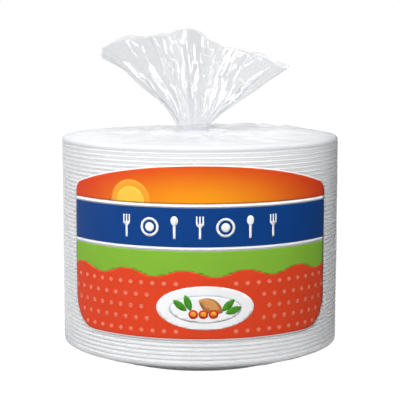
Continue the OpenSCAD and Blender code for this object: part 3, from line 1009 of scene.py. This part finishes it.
def dot_tree():
    tree, sockets, source, result = tree_with(
        "rows_of_dots",
        {
            "Radius": DOT_R,
            "Step": DOT_STEP,
            "Columns": 29,
            "Rows": int((DOTTED_H - WAVE_H - 2 * BORDER) / DOT_STEP),
            "Clear Width": DISH_A + DOT_STEP / 2,
            "Clear Height": DISH_B + DOT_STEP / 2,
        },
    )
    ends, link = source.outputs, tree.links.new
    new, calc = partial(geometry_node, tree), partial(math_node, tree)
    across = calc("MULTIPLY", calc("SUBTRACT", ends["Columns"], 1), ends["Step"])
    upward = calc("MULTIPLY", calc("SUBTRACT", ends["Rows"], 1), ends["Step"])
    grid = new("MeshGrid")
    link(ends["Columns"], grid.inputs["Vertices X"])
    link(ends["Rows"], grid.inputs["Vertices Y"])
    link(across, grid.inputs["Size X"])
    link(upward, grid.inputs["Size Y"])
    points = new("MeshToPoints")
    join(tree, grid, "Mesh", points, "Mesh")

    place = new("InputPosition").outputs["Position"]
    split = add(tree, "SeparateXYZ")
    link(place, split.inputs["Vector"])
    x, y = split.outputs["X"], split.outputs["Y"]
    row = calc("DIVIDE", calc("ADD", y, upward), ends["Step"])
    odd = calc("FLOORED_MODULO", calc("ROUND", calc("ADD", row, 0.25)), 2.0)
    offset = add(tree, "CombineXYZ")
    link(calc("MULTIPLY", odd, calc("MULTIPLY", ends["Step"], 0.5)), offset.inputs["X"])
    link(calc("ADD", calc("DIVIDE", upward, 2.0), FIRST_ROW_Y), offset.inputs["Y"])
    shifted = new("SetPosition")
    join(tree, points, "Points", shifted, "Geometry")
    join(tree, offset, "Vector", shifted, "Offset")

    near_x = calc("DIVIDE", calc("SUBTRACT", x, DISH_X), ends["Clear Width"])
    near_y = calc("DIVIDE", calc("SUBTRACT", y, DISH_Y), ends["Clear Height"])
    near = calc("ADD", calc("POWER", near_x, 2.0), calc("POWER", near_y, 2.0))
    on_dish = calc("LESS_THAN", near, 1.0)
    side = calc("SUBTRACT", calc("ABSOLUTE", x), ART_HALF - LOW_CORNER)
    side = calc("MAXIMUM", side, 0.0)
    under = calc("MAXIMUM", calc("SUBTRACT", LOW_CORNER, y), 0.0)
    corner = calc("ADD", calc("POWER", side, 2.0), calc("POWER", under, 2.0))
    outside = calc("GREATER_THAN", corner, CORNER_REACH**2)
    drop = new("DeleteGeometry")
    join(tree, shifted, "Geometry", drop, "Geometry")
    link(calc("MAXIMUM", on_dish, outside), drop.inputs["Selection"])

    disc = new("MeshCircle")
    disc.fill_type = "TRIANGLE_FAN"
    disc.inputs["Vertices"].default_value = DOT_SIDES
    link(ends["Radius"], disc.inputs["Radius"])
    finer = new("SubdivideMesh")
    join(tree, disc, "Mesh", finer, "Mesh")
    copies = new("InstanceOnPoints")
    join(tree, drop, "Geometry", copies, "Points")
    join(tree, finer, "Mesh", copies, "Instance")
    end_tree(tree, copies.outputs["Instances"], ends["Material"], result)
    return tree, sockets


# %% Dots on the film
def dots():
    tree, sockets = dot_tree()
    piece = add_object("ink_dots", bpy.data.meshes.new("ink_dots"))
    apply_tree(piece, tree, sockets, {"Material": DOT})
    for vert in piece.data.vertices:
        vert.co = wrapped(vert.co.x, vert.co.y, DOT_LAYER)
    follow_ridges(piece, DOT)
    thicken(piece, 0.03 * MM)
    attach(piece, "root")
    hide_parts("print_dots")
    print("dots:", len(piece.data.vertices) // (4 * DOT_SIDES + 1))


dots()

# %% [markdown]
# ## The tie
# A narrow band of clear tape holds the gathers, and its two ends are twisted together
# behind the neck. The band is a ring with rounded edges, and the ends are two strands
# wound round each other.


# %% Tie
STRAND_R, STRAND_AWAY = 0.7 * MM, 0.75 * MM
STRAND_LENGTH, STRAND_TURNS = 14 * MM, 5.5


def tie_material():
    material, tree, output = new_material("clear_tape", (0.85, 0.88, 0.9))
    clear = add(tree, "BsdfTransparent", Color=(0.97, 0.975, 0.98, 1))
    body = add(tree, "BsdfPrincipled", Roughness=0.25)
    body.inputs["Base Color"].default_value = (0.85, 0.87, 0.9, 1)
    noise = object_noise(tree, 300.0)
    bump = add(tree, "Bump", Strength=0.3, Distance=0.0001)
    join(tree, noise, "Fac", bump, "Height")
    join(tree, bump, "Normal", body, "Normal")
    mixed = shader_mix(tree, 0.12, clear.outputs["BSDF"], body.outputs["BSDF"])
    tree.links.new(mixed, output.inputs["Surface"])
    return material


def skin(bm, loops, closed):
    """Faces between loops of points that follow each other."""
    loops = [[bm.verts.new(point) for point in loop] for loop in loops]
    after = loops[1:] + loops[:1] if closed else loops[1:]
    for low, high in zip(loops, after):
        for i in range(len(low)):
            n = (i + 1) % len(low)
            bm.faces.new((low[i], low[n], high[n], high[i]))
    if not closed:
        bm.faces.new(loops[0][::-1])
        bm.faces.new(loops[-1])


def strand_loops(start, first_y):
    """Round sections along one of the two twisted ends."""
    points = []
    for t in np.linspace(0, 1, 70):
        twist = STRAND_TURNS * math.tau * t + start
        x, z = NECK_X + STRAND_AWAY * math.cos(twist), NECK_Z + STRAND_AWAY * math.sin(twist)
        points.append(Vector((x, first_y + STRAND_LENGTH * t, z)))
    for i, point in enumerate(points):
        ahead = (points[min(i + 1, len(points) - 1)] - points[max(i - 1, 0)]).normalized()
        right = ahead.cross(Vector((0, 0, 1))).normalized()
        over = right.cross(ahead)
        yield [point + STRAND_R * (math.cos(a) * right + math.sin(a) * over) for a in turns(10)]


def tie():
    bm = bmesh.new()
    inner = NECK_R + TIE_GAP
    section = [(0, -1), (0.7, -1), (1, -0.85), (1, 0.85), (0.7, 1), (0, 1)]
    band_loops = []
    for a in turns(72):
        loop = []
        for u, v in section:
            radius, z = inner + u * TIE_THICK, NECK_Z + v * TIE_W / 2 * 0.9
            loop.append((NECK_X + radius * math.cos(a), radius * math.sin(a), z))
        band_loops.append(loop)
    skin(bm, band_loops, closed=True)
    for start in (0, math.pi):
        skin(bm, strand_loops(start, inner + TIE_THICK + 0.2 * MM), closed=False)
    bmesh.ops.recalc_face_normals(bm, faces=bm.faces)
    mesh = bpy.data.meshes.new("tape_tie")
    bm.to_mesh(mesh)
    bm.free()
    mesh.polygons.foreach_set("use_smooth", [True] * len(mesh.polygons))
    mesh.materials.append(tie_material())
    piece = add_object("tape_tie", mesh)
    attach(piece, "root")
    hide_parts("neck_tie")
    print("tie points:", len(mesh.vertices))


tie()

# %% [markdown]
# ## Stage, light and camera
# The photo is a cut-out on pure white, lit softly from the left and front, with the
# right side falling into grey. The floor and the backdrop show as plain white to the
# camera and in what the film lets through, but light the object only as a pale studio
# does. In mirrored rays they are bright on the left and dark on the right.


# %% Floor and backdrop
# Each fade starts and ends at a place from left to right, with a value on either side.
FLOOR_FADE = (-0.05, 0.12, 0.7, 0.05)
AMBIENT_FADE = (-0.7, 0.5, 0.3, 0.03)
MIRROR_FADE = (-0.15, 0.25, 0.85, 0.03)
DARK_R, OPEN_R = 0.12, 0.25
PAPER, FLOOR_GLOW, FLOOR_HALF = 0.33, 0.93, 4.0


def side_fade(tree, output, start, end, left, right):
    """A value that goes from left to right across the studio."""
    place = add(tree, "TexCoord")
    split = add(tree, "SeparateXYZ")
    fade = add(tree, "MapRange", {"interpolation_type": "SMOOTHSTEP"})
    ends = {"From Min": start, "From Max": end, "To Min": left, "To Max": right}
    for label, value in ends.items():
        fade.inputs[label].default_value = value
    join(tree, place, output, split, "Vector")
    join(tree, split, "X", fade, "Value")
    return fade.outputs["Result"]


def away_from_foot(tree):
    """Nothing under the pack, then up to one on the open floor."""
    place = add(tree, "TexCoord")
    reach = add(tree, "VectorMath", {"operation": "LENGTH"})
    fade = add(tree, "MapRange", {"interpolation_type": "SMOOTHSTEP"})
    fade.inputs["From Min"].default_value = DARK_R
    fade.inputs["From Max"].default_value = OPEN_R
    join(tree, place, "Object", reach, 0)
    join(tree, reach, "Value", fade, "Value")
    return fade.outputs["Result"]


def looked_at(tree):
    """One for the camera's rays and for those that the film mirrors or lets through."""
    rays = add(tree, "LightPath")
    bright_side = side_fade(tree, "Object", *FLOOR_FADE)
    mirrored = math_node(tree, "MULTIPLY", rays.outputs["Is Glossy Ray"], bright_side)
    mirrored = math_node(tree, "MULTIPLY", mirrored, away_from_foot(tree))
    seen = math_node(tree, "MAXIMUM", rays.outputs["Is Camera Ray"], mirrored)
    return math_node(tree, "MAXIMUM", seen, rays.outputs["Is Transmission Ray"])


def stage_material(name, glow):
    material, tree, output = new_material(name, (1, 1, 1))
    paper = add(tree, "BsdfDiffuse", Color=(PAPER, PAPER, PAPER, 1))
    white = add(tree, "Emission", Color=(1, 1, 1, 1), Strength=1.1)
    seen = math_node(tree, "MULTIPLY", looked_at(tree), glow)
    mixed = shader_mix(tree, seen, paper.outputs["BSDF"], white.outputs["Emission"])
    tree.links.new(mixed, output.inputs["Surface"])
    return material


def stage_plane(name, corners, material):
    mesh = bpy.data.meshes.new(name)
    mesh.from_pydata(corners, [], [(0, 1, 2, 3)])
    mesh.materials.append(material)
    plane = add_object(name, mesh)


corners = [(x * FLOOR_HALF, y * FLOOR_HALF, 0) for x, y in ((-1, -1), (1, -1), (1, 1), (-1, 1))]
stage_plane("floor", corners, stage_material("floor_white", FLOOR_GLOW))

# %% World
world = bpy.data.worlds.new("studio")
bpy.context.scene.world = world
world.use_nodes = True
sky = world.node_tree
sky.nodes.clear()
sky_output = add(sky, "OutputWorld")
ambient = add(sky, "Background", Color=(0.97, 0.98, 1, 1))
mirrored = add(sky, "Background", Color=(1, 1, 1, 1))
backdrop = add(sky, "Background", Color=(1, 1, 1, 1), Strength=1.0)
sky.links.new(side_fade(sky, "Generated", *AMBIENT_FADE), ambient.inputs["Strength"])
sky.links.new(side_fade(sky, "Generated", *MIRROR_FADE), mirrored.inputs["Strength"])
rays = add(sky, "LightPath")
glossy, camera_ray, through_ray = (
    rays.outputs[f"Is {kind} Ray"] for kind in ("Glossy", "Camera", "Transmission")
)
seen = math_node(sky, "MAXIMUM", camera_ray, through_ray)
shaded = shader_mix(sky, glossy, ambient.outputs["Background"], mirrored.outputs["Background"])
shaded = shader_mix(sky, seen, shaded, backdrop.outputs["Background"])
sky.links.new(shaded, sky_output.inputs["Surface"])

# %% [markdown]
# ## Lamps and camera
# The key in front gives the body its light, the lamp on the left brightens that side,
# and the long bar above shades the ridges. Two small lamps stand high up only to make
# the fan's facets glint, one for each half of it. A weak lamp behind lifts the far side
# of the top face. The camera's place, tilt and lens were fitted to the round edges at
# the top and bottom of the stack. A ray may pass many layers of film, so it gets many
# transparent bounces.


# %% Lamps
def softbox(name, place, aim, size, power):
    light = bpy.data.lights.new(name, "AREA")
    light.shape = "RECTANGLE"
    light.size, light.size_y = size
    light.energy = power
    lamp = add_object(name, light)
    lamp.location = place
    lamp.rotation_mode = "QUATERNION"
    lamp.rotation_quaternion = (Vector(aim) - Vector(place)).to_track_quat("-Z", "Y")


MIDDLE = (0, 0, 0.12)
FAN_MIDDLE = (0, 0, 0.23)
LAMPS = {
    "key": ((0.11, -0.8, 0.88), MIDDLE, (0.42, 0.42), 11.4),
    "left": ((-1.1, -0.25, 0.5), MIDDLE, (0.6, 0.6), 6),
    "long_bar": ((-0.3, -1.0, 1.3), MIDDLE, (1.6, 0.15), 5),
    "glint_left_half": ((0.4, -0.65, 1.4), FAN_MIDDLE, (0.2, 0.22), 1.6),
    "glint_right_half": ((-1.0, -0.2, 1.5), FAN_MIDDLE, (0.13, 0.15), 0.9),
    "behind": ((-0.25, 1.3, 0.95), MIDDLE, (0.8, 0.4), 1.3),
}
for name, (place, aim, size, power) in LAMPS.items():
    softbox(name, place, aim, size, power)
print("lamps:", len(LAMPS))

# %% Camera
CAMERA_PLACE = Vector((0.0, -1.053, LOWEST_EDGE + 0.2463))
CAMERA_TILT = math.radians(7.33)
FOCAL_SHARE = 1278 / 400
SENSOR_MM = 36
camera_data = bpy.data.cameras.new("camera")
camera_data.sensor_width = SENSOR_MM
camera_data.lens = SENSOR_MM * FOCAL_SHARE
camera = add_object("camera", camera_data)
camera.location = CAMERA_PLACE
camera.rotation_euler = (math.pi / 2 - CAMERA_TILT, 0, 0)
print("camera lens:", round(camera_data.lens), "mm")

bpy.context.scene.camera = camera
bpy.context.scene.view_settings.view_transform = "Standard"
bpy.context.scene.cycles.transparent_max_bounces = 48
